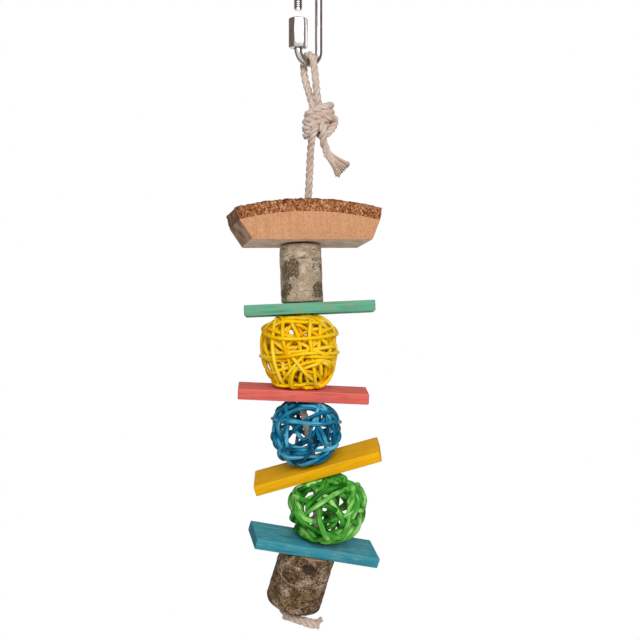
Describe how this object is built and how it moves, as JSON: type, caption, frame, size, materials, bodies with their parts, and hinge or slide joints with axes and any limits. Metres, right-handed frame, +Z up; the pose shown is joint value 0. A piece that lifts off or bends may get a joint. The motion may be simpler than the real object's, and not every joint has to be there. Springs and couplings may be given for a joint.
{
  "type": "hanging bird toy",
  "caption": "Hanging chew toy for birds: a knotted rope on a screw-gate link carries a bark slab, branch logs, painted wooden slats and wound rattan balls.",
  "frame": {"origin": "inside the quick link's top bend, where the link rests on a cage bar", "axes": "+Z up along the hanging rope, +Y away from the viewer, +X to the viewer's right"},
  "size_m": [0.103, 0.059, 0.4341],
  "materials": {
    "steel": "bright plated steel",
    "rope": "twisted natural fibre",
    "slab_wood": "sawn pine",
    "slab_bark": "rough pine bark",
    "log_wood": "sawn branch wood",
    "upper_bark": "grey branch bark",
    "lower_bark": "brown branch bark",
    "green_paint": "stained wood",
    "red_paint": "stained wood",
    "yellow_paint": "stained wood",
    "blue_paint": "stained wood",
    "yellow_rattan": "dyed rattan",
    "blue_rattan": "dyed rattan",
    "green_rattan": "dyed rattan"
  },
  "bodies": {
    "link": {"link_body": "steel"},
    "nut": {"link_nut": "steel"},
    "loop": {"rope_loop": "rope", "top_knot": "rope", "top_tail": "rope"},
    "rope": {"rope_run": "rope", "bottom_knot": "rope", "bottom_tail": "rope"},
    "slab": {"slab_wood": "slab_wood", "slab_bark": "slab_bark"},
    "upper_log": {"upper_log_wood": "log_wood", "upper_log_bark": "upper_bark"},
    "green_slat": {"green_slat": "green_paint"},
    "yellow_ball": {"yellow_ball": "yellow_rattan"},
    "red_slat": {"red_slat": "red_paint"},
    "blue_ball": {"blue_ball": "blue_rattan"},
    "yellow_slat": {"yellow_slat": "yellow_paint"},
    "green_ball": {"green_ball": "green_rattan"},
    "blue_slat": {"blue_slat": "blue_paint"},
    "lower_log": {"lower_log_wood": "log_wood", "lower_log_bark": "lower_bark"}
  },
  "joints": [
    {"name": "nut_travel", "type": "slide", "parent": "link", "child": "nut", "axis": [0, 0, 1], "range_m": [0, 0.01]},
    {"name": "toy_swing", "type": "hinge", "parent": "link", "child": "loop", "pos_m": [0, 0, -0.0545], "axis": [0.809, 0.5878, 0], "range_deg": [-60, 60]},
    {"name": "rope_sway", "type": "hinge", "parent": "loop", "child": "rope", "pos_m": [0.0019, 0, -0.105], "axis": [0, 1, 0], "range_deg": [-20, 20]},
    {"name": "slab_spin", "type": "hinge", "parent": "rope", "child": "slab", "pos_m": [-0.0006, -0.0006, -0.1719], "axis": [-0.0417, 0.0941, 0.9947], "continuous": true},
    {"name": "upper_log_spin", "type": "hinge", "parent": "rope", "child": "upper_log", "pos_m": [-0.0047, -0.0005, -0.19171], "axis": [-0.0349, 0.0558, 0.9978], "continuous": true},
    {"name": "green_slat_spin", "type": "hinge", "parent": "rope", "child": "green_slat", "pos_m": [-0.00474, -0.00174, -0.21443], "axis": [-0.0436, 0.0419, 0.9982], "continuous": true},
    {"name": "yellow_ball_spin", "type": "hinge", "parent": "rope", "child": "yellow_ball", "pos_m": [-0.006, -0.0025, -0.24135], "axis": [0, 0, 1], "range_deg": [-30, 30]},
    {"name": "red_slat_spin", "type": "hinge", "parent": "rope", "child": "red_slat", "pos_m": [-0.00518, -0.00164, -0.2688], "axis": [0.0519, -0.1271, 0.9905], "continuous": true},
    {"name": "blue_ball_spin", "type": "hinge", "parent": "rope", "child": "blue_ball", "pos_m": [-0.0016, -0.0015, -0.29287], "axis": [-0.1736, 0, 0.9848], "range_deg": [-30, 30]},
    {"name": "yellow_slat_spin", "type": "hinge", "parent": "rope", "child": "yellow_slat", "pos_m": [0.0037, -0.00086, -0.31704], "axis": [-0.2873, -0.2773, 0.9168], "continuous": true},
    {"name": "green_ball_spin", "type": "hinge", "parent": "rope", "child": "green_ball", "pos_m": [0.0121, -0.002, -0.34281], "axis": [0, 0, 1], "range_deg": [-30, 30]},
    {"name": "blue_slat_spin", "type": "hinge", "parent": "rope", "child": "blue_slat", "pos_m": [0.00287, -0.00035, -0.36715], "axis": [0.2798, -0.2504, 0.9268], "continuous": true},
    {"name": "lower_log_spin", "type": "hinge", "parent": "rope", "child": "lower_log", "pos_m": [-0.00512, 0.00599, -0.38935], "axis": [0.2798, -0.2504, 0.9268], "continuous": true}
  ]
}
